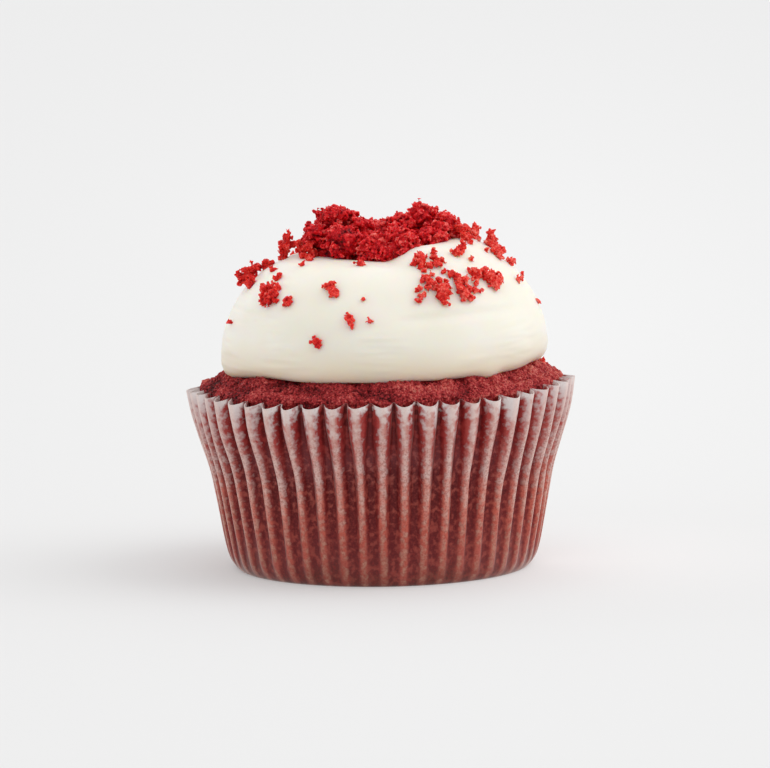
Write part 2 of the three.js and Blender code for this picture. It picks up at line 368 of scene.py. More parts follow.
# Torn sponge is moist and bright, with light coming through its thin edges.
CRUMB_FINISH = {"Roughness": 0.4, "Specular IOR Level": 0.1, "Subsurface Weight": 0.75,
                "Subsurface Scale": 0.6 * MM, "Subsurface Radius": (1.0, 0.12, 0.08)}
CRUMB = torn_material("torn red sponge", 0.8, 0.4, CRUMB_FINISH, (0.52, "#56000a"),
                      (0.64, "#aa0812"), (0.78, "#dc2028"), (0.92, "#f6766e"))
# The loose crumbs are painted paler than the heap, as painted light glowing through their thin edges.
PAINTED_LIT_CRUMB = torn_material("torn red sponge painted lighter", 0.8, 0.4, CRUMB_FINISH, (0.5, "#6c0008"),
                          (0.6, "#b81418"), (0.74, "#e83830"), (0.88, "#fc9080"))
# Baked sponge is duller and browner than its torn crumbs, with a fine open grain.
BAKED_FINISH = {"Roughness": 0.5, "Specular IOR Level": 0.12, "Subsurface Weight": 0.2,
                "Subsurface Scale": 0.4 * MM, "Subsurface Radius": (1.0, 0.15, 0.1)}
SPONGE = torn_material("baked red sponge", 1.3, 0.66, BAKED_FINISH, (0.54, "#300408"),
                       (0.66, "#861b20"), (0.77, "#b4383a"), (0.92, "#d67a6c"))
FROSTING = frosting_material()
PAPER = paper_material()


# ---- Torn sponge ----
def sponge_relief(tree, given):
    """How far torn sponge stands above or below its smooth outline. Lumps and grains swell it or
    sink it by up to half their depth, and so do chips, which end at sharp edges."""
    place = add(tree, "GeometryNodeInputPosition")
    shifted = add(tree, "ShaderNodeVectorMath", (place, given["Seed"]), operation="ADD")
    relief = 0.0
    for kind, detail in (("Lump", 1.0), ("Grain", 2.0), ("Chip", None)):
        scale = add(tree, "ShaderNodeMath", (1.0, given[kind + " Size"]), operation="DIVIDE")
        if detail is None:
            cells = add(tree, "ShaderNodeTexVoronoi", {"Vector": shifted, "Scale": scale})
            noise = add(tree, "ShaderNodeSeparateXYZ", {"Vector": cells.outputs["Color"]})
        else:
            noise = add(tree, "ShaderNodeTexNoise", {
                "Vector": shifted, "Scale": scale, "Detail": detail})
        middle = add(tree, "ShaderNodeMath", (noise, 0.5), operation="SUBTRACT")
        relief = add(tree, "ShaderNodeMath", (middle, given[kind + " Depth"], relief),
                     operation="MULTIPLY_ADD")
    return place, relief


RELIEF_INPUTS = {
    "Lump Size": 3 * MM,
    "Lump Depth": 2.5 * MM,
    "Grain Size": 1 * MM,
    "Grain Depth": 1.2 * MM,
    "Chip Size": 0.6 * MM,
    "Chip Depth": 0.6 * MM,
    "Seed": 0.1,
}
EDGE_SHARPNESS = 0.2  # the fall in density for each voxel across a torn edge
RAY = (0.13, 0.21, 1)  # any direction that doesn't run along the voxels' edges


def torn_crumb_tree():
    """Turns a few round lumps, given as points with a radius, into one torn crumb, ragged all over
    and open enough in places to see through."""
    tree, given = new_tree("torn crumb", {
        "Voxel": 0.2 * MM,
        "Smallest Island": 60,
        **RELIEF_INPUTS,
    })
    place, relief = sponge_relief(tree, given)
    radius = add(tree, "GeometryNodeInputNamedAttribute", {"Name": "radius"})
    points = add(tree, "GeometryNodeMeshToPoints", {"Mesh": given["Geometry"], "Radius": radius})
    filled = add(tree, "GeometryNodePointsToVolume", {
        "Points": points, "Voxel Size": given["Voxel"],
        "Radius": add(tree, "GeometryNodeInputRadius")}, resolution_mode="VOXEL_SIZE")
    lumps = add(tree, "GeometryNodeVolumeToMesh", {"Volume": filled, "Threshold": 0.5})

    # Height above the lumps' surface, below zero inside them, where a ray meets a face from behind.
    nearest = add(tree, "GeometryNodeProximity", {"Geometry": lumps}, target_element="FACES")
    ray = add(tree, "GeometryNodeRaycast", {
        "Target Geometry": lumps, "Source Position": place, "Ray Direction": RAY, "Ray Length": 1.0})
    leaving = add(tree, "ShaderNodeVectorMath", (ray.outputs["Hit Normal"], RAY),
                  operation="DOT_PRODUCT")
    inside = add(tree, "ShaderNodeMath", (leaving.outputs["Value"], 0.0), operation="GREATER_THAN")
    sign = add(tree, "ShaderNodeMath", (inside, -2.0, 1.0), operation="MULTIPLY_ADD")
    above = add(tree, "ShaderNodeMath", (nearest.outputs["Distance"], sign), operation="MULTIPLY")

    depth = add(tree, "ShaderNodeMath", (relief, above), operation="SUBTRACT")
    voxels_deep = add(tree, "ShaderNodeMath", (depth, given["Voxel"]), operation="DIVIDE")
    filling = add(tree, "ShaderNodeMath", (voxels_deep, EDGE_SHARPNESS, 0.5),
                  operation="MULTIPLY_ADD")
    density = add(tree, "ShaderNodeClamp", {"Value": filling})
    margin = add(tree, "ShaderNodeMath", (given["Lump Depth"], 0.5), operation="MULTIPLY")
    box = add(tree, "GeometryNodeBoundBox", {"Geometry": lumps})
    low = add(tree, "ShaderNodeVectorMath", (box.outputs["Min"], margin), operation="SUBTRACT")
    high = add(tree, "ShaderNodeVectorMath", (box.outputs["Max"], margin), operation="ADD")
    size = add(tree, "ShaderNodeVectorMath", (high, low), operation="SUBTRACT")
    steps = add(tree, "ShaderNodeVectorMath", (size, given["Voxel"]), operation="DIVIDE")
    count = add(tree, "ShaderNodeSeparateXYZ", {"Vector": steps}).outputs
    volume = add(tree, "GeometryNodeVolumeCube", {
        "Density": density, "Min": low, "Max": high,
        "Resolution X": count["X"], "Resolution Y": count["Y"], "Resolution Z": count["Z"]})
    surface = add(tree, "GeometryNodeVolumeToMesh", {"Volume": volume, "Threshold": 0.5})

    # Specks that hang in the air are dropped, and so are sealed bubbles.
    total = add(tree, "GeometryNodeAccumulateField", {
        "Value": 1, "Group ID": add(tree, "GeometryNodeInputMeshIsland").outputs["Island Index"],
    }, data_type="INT")
    small = add(tree, "FunctionNodeCompare", {
        "A": total.outputs["Total"], "B": given["Smallest Island"]},
        data_type="INT", operation="LESS_THAN")
    kept = add(tree, "GeometryNodeDeleteGeometry", {"Geometry": surface, "Selection": small})
    marked = add(tree, "GeometryNodeStoreNamedAttribute", {
        "Geometry": kept, "Name": "relief", "Value": relief}, data_type="FLOAT")
    return end_tree(tree, given, marked)


TORN_CRUMB = torn_crumb_tree()


def torn_crumb(name, lumps, seed, smallest_island, **sizes):
    """One torn crumb from (x, y, z, diameter) lumps. All its sizes are in millimetres."""
    lumps = np.asarray(lumps, float)
    mesh = mesh_of(name, lumps[:, :3], [], radius=lumps[:, 3] / 2 * MM)
    in_metres = {label: size * MM for label, size in sizes.items()}
    return run_tree(name, TORN_CRUMB, mesh, material=CRUMB, seed=seed,
                    smallest_island=smallest_island, **in_metres)


def crust_tree():
    """Roughens a fine smooth surface into baked sponge, wherever its attribute "shown" is 1."""
    tree, given = new_tree("sponge crust", RELIEF_INPUTS)
    place, relief = sponge_relief(tree, given)
    shown = add(tree, "GeometryNodeInputNamedAttribute", {"Name": "shown"})
    height = add(tree, "ShaderNodeMath", (relief, shown), operation="MULTIPLY")
    outward = add(tree, "GeometryNodeInputNormal").outputs["Normal"]
    offset = add(tree, "ShaderNodeVectorMath", {0: outward, "Scale": height}, operation="SCALE")
    marked = add(tree, "GeometryNodeStoreNamedAttribute", {
        "Geometry": given["Geometry"], "Name": "relief", "Value": relief}, data_type="FLOAT")
    moved = add(tree, "GeometryNodeSetPosition", {"Geometry": marked, "Offset": offset})
    return end_tree(tree, given, moved)


# ---- Sponge ----
CAKE_EDGE_RADIUS = 31
CAKE_CENTRE_HEIGHT = 37.6
CAKE_DOME_DROP = 4.6
CAKE_DOME_POWER = 7
CAKE_LEAN = 0.024  # rise per millimetre towards +X, as the cake baked a little higher there
CAKE_BACK_DROP = 1.6  # how much lower its edge is at the back
CAKE_UNEVENNESS = 0.35
CORE_SIDE = [(24.5, 0.6), (25.2, 1.6), (27, 10), (28.6, 20), (29.8, 29)]  # (radius, height)
CORE_TOP_RADII = (29.4, 28, 25, 20, 10, 3)
CORE_DEPTH = 1.2  # how far the core and the frosting's underside lie under the cake's top
CORE_COLUMNS = 200
CRUST_COLUMNS = 1560
CRUST_UNDERSIDE_RADII = (24, 28)
CRUST_DEPTH = 2
CRUST_SIDE_SHARE = 0.4  # how rough its side is, of the roughness on top
CRUST_FOOT_HEIGHT = 29.6
CRUST_EDGE_RADIUS = 31.5
CRUST_ROUND = 1.3
CRUST_INNER_RADIUS = 24.8
CRUST_ROWS = (10, 8, 36)  # up the side, round the shoulder and over the top


def cake_top(radius, turn):
    outwards = radius / CAKE_EDGE_RADIUS
    dome = CAKE_CENTRE_HEIGHT - CAKE_DOME_DROP * outwards ** CAKE_DOME_POWER
    back = CAKE_BACK_DROP * outwards ** 2 * (1 - np.cos(turn)) / 2
    lean = CAKE_LEAN * radius * np.sin(turn)
    return dome - back + lean + CAKE_UNEVENNESS * outwards * lobes(turn, 1.57)


def make_sponge():
    """A smooth core, hidden by the paper and the frosting, with a rough crust round its edge."""
    turn = turns_of(CORE_COLUMNS)
    core = [ring_of(radius, height, turn) for radius, height in CORE_SIDE]
    core += [ring_of(radius, cake_top(radius, turn) - CORE_DEPTH, turn) for radius in CORE_TOP_RADII]
    sponge = new_object("sponge", solid_of_rings("sponge", core))
    sponge.data.materials.append(SPONGE)
    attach(sponge, "root")
    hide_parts("cake")

    turn = turns_of(CRUST_COLUMNS)
    shoulder = CRUST_EDGE_RADIUS - CRUST_ROUND
    bend = cake_top(shoulder, turn) - CRUST_ROUND
    side_rows, round_rows, top_rows = CRUST_ROWS
    rings = [ring_of(radius, cake_top(radius, turn) - CRUST_DEPTH, turn)
             for radius in CRUST_UNDERSIDE_RADII]
    for up in np.linspace(0, 1, side_rows, endpoint=False):
        height = CRUST_FOOT_HEIGHT + (bend - CRUST_FOOT_HEIGHT) * up
        rings.append(ring_of(CRUST_EDGE_RADIUS, height, turn))
    for angle in np.linspace(0, math.pi / 2, round_rows, endpoint=False):
        rings.append(ring_of(shoulder + CRUST_ROUND * math.cos(angle),
                             bend + CRUST_ROUND * math.sin(angle), turn))
    for radius in np.linspace(shoulder, CRUST_INNER_RADIUS, top_rows):
        rings.append(ring_of(radius, cake_top(radius, turn), turn))
    points = np.concatenate(rings)
    faces = (np.array(ring_faces(len(rings) + 1, CRUST_COLUMNS)) % len(points)).tolist()
    shown = np.repeat([0, 0] + [CRUST_SIDE_SHARE] * side_rows + [1] * (round_rows + top_rows),
                      CRUST_COLUMNS)
    crust = run_tree("sponge_crust", crust_tree(), mesh_of("crust", points, faces, shown=shown),
                     lump_size=4.4 * MM, lump_depth=2.6 * MM, grain_size=0.8 * MM,
                     grain_depth=1.4 * MM, chip_size=0.45 * MM, chip_depth=0.45 * MM, seed=0.3,
                     material=SPONGE)
    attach(crust, "root")


make_sponge()


# ---- Frosting ----
FROSTING_RADIUS = 28.6
FROSTING_OFF_CENTRE = 0.028  # how far the frosting sits towards +X, of its radius
FROSTING_LEAN = 0.012
FROSTING_WIDEST_HEIGHT = 38.6
FROSTING_DOME_RISE = 19.9
FROSTING_FLOOR_RADII = (2, 10, 18, 22, 24)
FROSTING_FOOT_RADIUS = 27.2
FROSTING_FOOT_SINK = 0.3
FROSTING_UNEVENNESS = 0.012
FOOT_DRAWN = 0.9  # how far its edge is drawn in, away from the front and the back
FOOT_DRAWN_RIGHT = 0.7  # and how much further at the far right
FOOT_SPREAD_LEFT = 0.9  # it spreads out again at the far left
DROOP = 0.9
DROOP_TURN = 0.73
DROOP_WIDTH = 0.09
HOLLOW_DEPTH = 5.7
HOLLOW_RADIUS = 9.5
SWIRL_RADIUS = 12.5
SWIRL_WIDTH = 5
SWIRL_LOW = -0.9
SWIRL_HIGH = 1.5
SWIRL_START = math.radians(5)
SWIRL_STEP = math.radians(32)
SHOULDER_RISE = 2.1  # the frosting is fuller on the right
SHOULDER_RADIUS = 20
SHOULDER_WIDTH = 8
KNIFE_LINE_HEIGHT = 46
KNIFE_LINE_DEPTH = 0.3
KNIFE_LINE_WIDTH = 0.8
KNIFE_LINE_CLIMB = 0.9
KNIFE_LINE_STARTS = (0.05, 0.25)  # turns between which it deepens
KNIFE_LINE_ENDS = (0.7, 1.3)  # and fades
STROKE_PATCHES = (0.45, 0.62)  # the levels of the waves' noise where the strokes begin and are full
FROSTING_COLUMNS = 360
DOME_ROWS = 130
FOOT_ROWS = 16


def swirl_height(turn):
    """The swirl climbs steeply where the knife left it, then falls away slowly all the way round."""
    along = np.mod(turn - SWIRL_START, 2 * math.pi)
    climb = smoothstep(along, 0, SWIRL_STEP)
    fall = np.clip((along - SWIRL_STEP) / (2 * math.pi - SWIRL_STEP), 0, 1)
    return SWIRL_LOW + (SWIRL_HIGH - SWIRL_LOW) * (climb - fall)


def frosting_top(radius, turn):
    outwards = np.minimum(1, radius / FROSTING_RADIUS)
    dome = FROSTING_WIDEST_HEIGHT + FROSTING_DOME_RISE * np.sqrt(1 - outwards ** 2)
    hollow = HOLLOW_DEPTH * np.exp(-(radius / HOLLOW_RADIUS) ** 2)
    on_swirl = np.exp(-((radius - SWIRL_RADIUS) / SWIRL_WIDTH) ** 2)
    on_shoulder = np.exp(-((radius - SHOULDER_RADIUS) / SHOULDER_WIDTH) ** 2)
    shoulder = SHOULDER_RISE * np.clip(np.sin(turn), 0, 1) ** 2 * on_shoulder
    return (dome - hollow + on_swirl * swirl_height(turn) + shoulder
            + FROSTING_LEAN * radius * np.sin(turn))


def frosting_radius(radius, turn):
    return radius * (1 + FROSTING_UNEVENNESS * lobes(turn, 2.4) + FROSTING_OFF_CENTRE * np.sin(turn))


def foot_radius(turn):
    """The frosting's edge, drawn in to the left and the right of the front, with one droop."""
    side = np.sin(turn)
    drawn = (FOOT_DRAWN * smoothstep(np.abs(side), 0.3, 0.65)
             + FOOT_DRAWN_RIGHT * smoothstep(side, 0.8, 1)
             - FOOT_SPREAD_LEFT * smoothstep(-side, 0.85, 1))
    droop = DROOP * np.exp(-((turn - DROOP_TURN) / DROOP_WIDTH) ** 2)
    return FROSTING_FOOT_RADIUS - drawn + droop


def knife_line(height, turn):
    """The depth of the shallow line that the knife's edge left from the front to the right."""
    along = smoothstep(turn, *KNIFE_LINE_STARTS) * (1 - smoothstep(turn, *KNIFE_LINE_ENDS))
    away = (height - KNIFE_LINE_HEIGHT - KNIFE_LINE_CLIMB * np.sin(2 * turn)) / KNIFE_LINE_WIDTH
    return KNIFE_LINE_DEPTH * along * np.exp(-away ** 2)


def spread_frosting_tree():
    """Gives the frosting the slack waves and, in patches, the fine level strokes of the knife."""
    tree, given = new_tree("knife strokes", {
        "Wave Size": 13 * MM,
        "Wave Depth": 1.0 * MM,
        "Stroke Length": 11 * MM,
        "Stroke Width": 1.7 * MM,
        "Stroke Depth": 0.7 * MM,
    })
    place = add(tree, "GeometryNodeInputPosition")
    scale = add(tree, "ShaderNodeMath", (1.0, given["Wave Size"]), operation="DIVIDE")
    wave = add(tree, "ShaderNodeTexNoise", {"Vector": place, "Scale": scale, "Detail": 0.0})
    waving = add(tree, "ShaderNodeMath", (wave, 0.5), operation="SUBTRACT")
    wave_height = add(tree, "ShaderNodeMath", (waving, given["Wave Depth"]), operation="MULTIPLY")
    stroke_size = add(tree, "ShaderNodeCombineXYZ", {
        "X": given["Stroke Length"], "Y": given["Stroke Length"], "Z": given["Stroke Width"]})
    stretched = add(tree, "ShaderNodeVectorMath", (place, stroke_size), operation="DIVIDE")
    stroke = add(tree, "ShaderNodeTexNoise", {"Vector": stretched, "Scale": 1.0, "Detail": 1.0})
    stroking = add(tree, "ShaderNodeMath", (stroke, 0.5), operation="SUBTRACT")
    stroke_depth = add(tree, "ShaderNodeMath", (stroking, given["Stroke Depth"]), operation="MULTIPLY")
    patch = add(tree, "ShaderNodeMapRange", (wave, *STROKE_PATCHES))
    masked = add(tree, "ShaderNodeMath", (stroke_depth, patch), operation="MULTIPLY")
    relief = add(tree, "ShaderNodeMath", (wave_height, masked), operation="ADD")
    outward = add(tree, "GeometryNodeInputNormal").outputs["Normal"]
    offset = add(tree, "ShaderNodeVectorMath", {0: outward, "Scale": relief}, operation="SCALE")
    moved = add(tree, "GeometryNodeSetPosition", {"Geometry": given["Geometry"], "Offset": offset})
    return end_tree(tree, given, moved)


def make_frosting():
    turn = turns_of(FROSTING_COLUMNS)
    rings = [ring_of(radius, cake_top(radius, turn) - CORE_DEPTH, turn)
             for radius in FROSTING_FLOOR_RADII]
    edge = foot_radius(turn)
    foot = cake_top(frosting_radius(edge, turn), turn) - FROSTING_FOOT_SINK
    for step in range(FOOT_ROWS):
        up = step / FOOT_ROWS
        out = math.sqrt(1 - (1 - up) ** 2)
        radius = edge + (FROSTING_RADIUS - edge) * out
        height = foot + (frosting_top(FROSTING_RADIUS, turn) - foot) * up
        rings.append(ring_of(frosting_radius(radius, turn), height, turn))
    for step in range(DOME_ROWS):
        radius = FROSTING_RADIUS * math.cos(math.pi / 2 * step / DOME_ROWS)
        height = frosting_top(radius, turn)
        rings.append(ring_of(frosting_radius(radius, turn) - knife_line(height, turn), height, turn))
    frosting = run_tree("spread_frosting", spread_frosting_tree(), solid_of_rings("frosting", rings),
                        material=FROSTING)
    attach(frosting, "root")
    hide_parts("frosting")
    return frosting


frosting = make_frosting()


# ---- Paper case ----
BASE_RADIUS = 25.4
WALL_SLANT = 33.4
FLUTES = 50
PAPER_THICKNESS = 0.12
BASE_ROUND = 1.45
BASE_ROUND_SLANT = 1.3
WALL_LEAN = 0.178
SWELL = 1.25
SWELL_SLANTS = (17, 31)
RIM_LEAN = 0.02
RIM_LIFT = 2.8  # with the sag, lifts the rim at the left and the right, and sinks it between
RIM_SAG = 1.9
RIM_BACK_DROP = 2.3  # how much lower it stands at the back, where the paper is splayed
RIM_BACK = (-0.5, 0.6)  # where it drops, of its radius
RIDGE_RISE = 0.964
GROOVE_RISE = 0.985
RIDGE_CROWN = (0.15, 0.5)  # its crown's height over its creases, of its depth, low and at the rim
FLUTE_DEPTH_SHARE = 0.66
CREASE = (0.28, 0.7)  # where the ridge turns down, of half a flute, low and at the rim
FLANK_WIDTH = (0.44, 0.25)  # from there to the groove, low and at the rim
FLANK = [(0.3, 0.72), (0.55, 0.42), (0.8, 0.14), (1, 0.03)]  # (share across it, share of the height)
CREASE_ROUND = 0.08  # how wide its rounded turn is, of half a flute
RIDGE_BEND = 0.45  # where its crown bends, of the way from its middle to the crease
CREASE_OPENS = 0.6  # the height at which the ridges begin to open, of the wall's
BASE_RINGS = [8, 16, 22, 24.6]
WALL_ROWS = 38
WALL_ROW_POWER = 1.25  # above 1, the rows stand closer together low down, where the wall bends
MERGE_DISTANCE = 0.004 * MM
UNEVEN_SHARES = (1, 1, 0.35)  # how uneven the flutes are along X, Y and Z


def ridge_radius(slant):
    corner = BASE_ROUND * (1 - math.exp(-slant / BASE_ROUND_SLANT))
    return BASE_RADIUS + corner + WALL_LEAN * slant + SWELL * smoothstep(slant, *SWELL_SLANTS)


def flute_depth(slant):
    surplus = (BASE_RADIUS + slant) ** 2 - ridge_radius(slant) ** 2
    return FLUTE_DEPTH_SHARE * (math.pi / FLUTES) * math.sqrt(max(0, surplus))


def half_flute(slant):
    """Half a flute's columns of points: how far each stands from the ridge's middle (0) to the
    groove's (1), and how high it is raised, from 0 to 1."""
    opened = smoothstep(slant / WALL_SLANT, CREASE_OPENS, 1)
    crease, crown, flank_width = (low + (rim - low) * opened
                                  for low, rim in (CREASE, RIDGE_CROWN, FLANK_WIDTH))
    ridge = np.array([0, RIDGE_BEND * crease, crease - CREASE_ROUND, crease])
    flank, height = np.array(FLANK).T
    across = np.concatenate([ridge, crease + flank_width * flank, [1]])
    raised = np.concatenate([1 - crown * (ridge / crease) ** 2, (1 - crown) * height, [0]])
    return across, raised


def flute_wedge():
    """One flute's wall with its sector of the base, its ridge at the front."""
    rows = [(radius, 0) for radius in BASE_RINGS]
    rows += [(None, WALL_SLANT * (row / WALL_ROWS) ** WALL_ROW_POWER)
             for row in range(WALL_ROWS + 1)]
    points, marks = [[0, 0, 0]], [(0, 0)]
    for radius, slant in rows:
        across, raised = (np.concatenate([half[:0:-1], half]) for half in half_flute(slant))
        side = np.where(np.arange(len(across)) < len(across) // 2, -1, 1)
        if radius is None:
            radius = ridge_radius(slant) - flute_depth(slant) * (1 - raised)
        height = slant * (GROOVE_RISE + (RIDGE_RISE - GROOVE_RISE) * raised)
        points += ring_of(radius, height, side * across * math.pi / FLUTES).tolist()
        marks += [(up, slant / WALL_SLANT) for up in raised]
    columns = len(across)
    faces = [(0, 2 + i, 1 + i) for i in range(columns - 1)]
    for row in range(len(rows) - 1):
        first = 1 + row * columns
        faces += [(first + i, first + i + 1, first + i + 1 + columns, first + i + columns)
                  for i in range(columns - 1)]
    raised, slant = np.array(marks).T
    return mesh_of("flute", points, faces, raised=raised, slant=slant)


def fluted_case_tree():
    """Repeats one flute round the base, then makes the flutes as uneven as pressed paper is."""
    tree, given = new_tree("fluted case", {
        "Flutes": FLUTES,
        "Unevenness": 1.3 * MM,
        "Uneven Width": 5 * MM,
        "Uneven Length": 22 * MM,
        "Lean": RIM_LEAN,
        "Lift": RIM_LIFT * MM,
        "Sag": RIM_SAG * MM,
        "Back Drop": RIM_BACK_DROP * MM,
    })
    line = add(tree, "GeometryNodeMeshLine", {"Count": given["Flutes"], "Offset": (0, 0, 0)})
    step = add(tree, "ShaderNodeMath", (2 * math.pi, given["Flutes"]), operation="DIVIDE")
    index = add(tree, "GeometryNodeInputIndex")
    turn = add(tree, "ShaderNodeMath", (index, step), operation="MULTIPLY")
    round_z = add(tree, "ShaderNodeCombineXYZ", {"Z": turn})
    flutes = add(tree, "GeometryNodeInstanceOnPoints", {
        "Points": line, "Instance": given["Geometry"],
        "Rotation": add(tree, "FunctionNodeEulerToRotation", {"Euler": round_z})})
    realized = add(tree, "GeometryNodeRealizeInstances", {"Geometry": flutes})
    joined = add(tree, "GeometryNodeMergeByDistance", {
        "Geometry": realized, "Distance": MERGE_DISTANCE})

    place = add(tree, "GeometryNodeInputPosition")
    size = add(tree, "ShaderNodeCombineXYZ", {
        "X": given["Uneven Width"], "Y": given["Uneven Width"], "Z": given["Uneven Length"]})
    stretched = add(tree, "ShaderNodeVectorMath", (place, size), operation="DIVIDE")
    noise = add(tree, "ShaderNodeTexNoise", {"Vector": stretched, "Scale": 1.0, "Detail": 1.0})
    middle = add(tree, "ShaderNodeVectorMath", (noise.outputs["Color"], (0.5, 0.5, 0.5)),
                 operation="SUBTRACT")
    level = add(tree, "ShaderNodeVectorMath", (middle, UNEVEN_SHARES), operation="MULTIPLY")
    slant = add(tree, "GeometryNodeInputNamedAttribute", {"Name": "slant"})
    most = add(tree, "ShaderNodeMath", (slant, given["Unevenness"]), operation="MULTIPLY")
    uneven = add(tree, "ShaderNodeVectorMath", {0: level, "Scale": most}, operation="SCALE")
    rim = ridge_radius(WALL_SLANT) * MM
    in_radii = add(tree, "ShaderNodeVectorMath", {0: place, "Scale": 1 / rim}, operation="SCALE")
    x, y, _ = add(tree, "ShaderNodeSeparateXYZ", {"Vector": in_radii}).outputs
    squared = add(tree, "ShaderNodeMath", (x, x), operation="MULTIPLY")
    lifted = add(tree, "ShaderNodeMath", (squared, given["Lift"]), operation="MULTIPLY")
    net = add(tree, "ShaderNodeMath", (lifted, given["Sag"]), operation="SUBTRACT")
    slack = add(tree, "ShaderNodeMath", (squared, net), operation="MULTIPLY")
    level_lean = add(tree, "ShaderNodeMath", (given["Lean"], rim), operation="MULTIPLY")
    sides = add(tree, "ShaderNodeMath", (x, level_lean, slack), operation="MULTIPLY_ADD")
    drop = add(tree, "ShaderNodeMapRange", (y, *RIM_BACK, 0.0, given["Back Drop"]),
               interpolation_type="SMOOTHSTEP")
    lean = add(tree, "ShaderNodeMath", (sides, drop), operation="SUBTRACT")
    leaning = add(tree, "ShaderNodeMath", (lean, slant), operation="MULTIPLY")
    rise = add(tree, "ShaderNodeCombineXYZ", {"Z": leaning})
    offset = add(tree, "ShaderNodeVectorMath", (uneven, rise), operation="ADD")
    moved = add(tree, "GeometryNodeSetPosition", {"Geometry": joined, "Offset": offset})
    return end_tree(tree, given, moved)


def make_paper_case():
    case = run_tree("fluted_paper_case", fluted_case_tree(), flute_wedge(),
                    paper=PAPER_THICKNESS * MM, material=PAPER)
    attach(case, "root")
    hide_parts("paper_case")


make_paper_case()


# ---- Crumbs ----
# The lumps of the heap's core, as (right, back, height, diameter).
HEAP = [
    (0, 0, 54.5, 11), (-7, 0, 54.8, 10), (7, 0, 54.8, 10), (0, -6, 54, 8), (0, 6, 54.5, 8),
    (-7.8, 0.5, 60.2, 6.2), (-10.4, -2, 57.4, 4.8), (-6, -5, 57.4, 6), (-5.5, 5, 57.8, 6),
    (-3.4, 0, 58.6, 5), (-0.5, -7, 56.2, 5.6), (0.5, 6, 57.2, 5.6), (4.2, -7, 57, 5.6),
    (7.6, 0.5, 60.2, 6), (3.8, -0.5, 58.6, 5), (6.5, 6, 58, 5.8), (9.5, -4, 57.6, 4.8),
    (11.2, 0, 59.2, 4), (12.8, -1, 58.4, 2.6), (-12, -1, 56.6, 2),
]
HEAP_CRUMBS = 290
HEAP_CRUMB_SIZES = (1, 3)
HEAP_CRUMB_SHARES = (0.6, 1)  # each is a random share of its size
HEAP_CRUMB_DEPTH = 0.4  # how deep a crumb's middle may sit inside another lump
HEAP_CRUMB_LOWEST = -0.5  # the least that the random vector to it from a lump's middle may rise
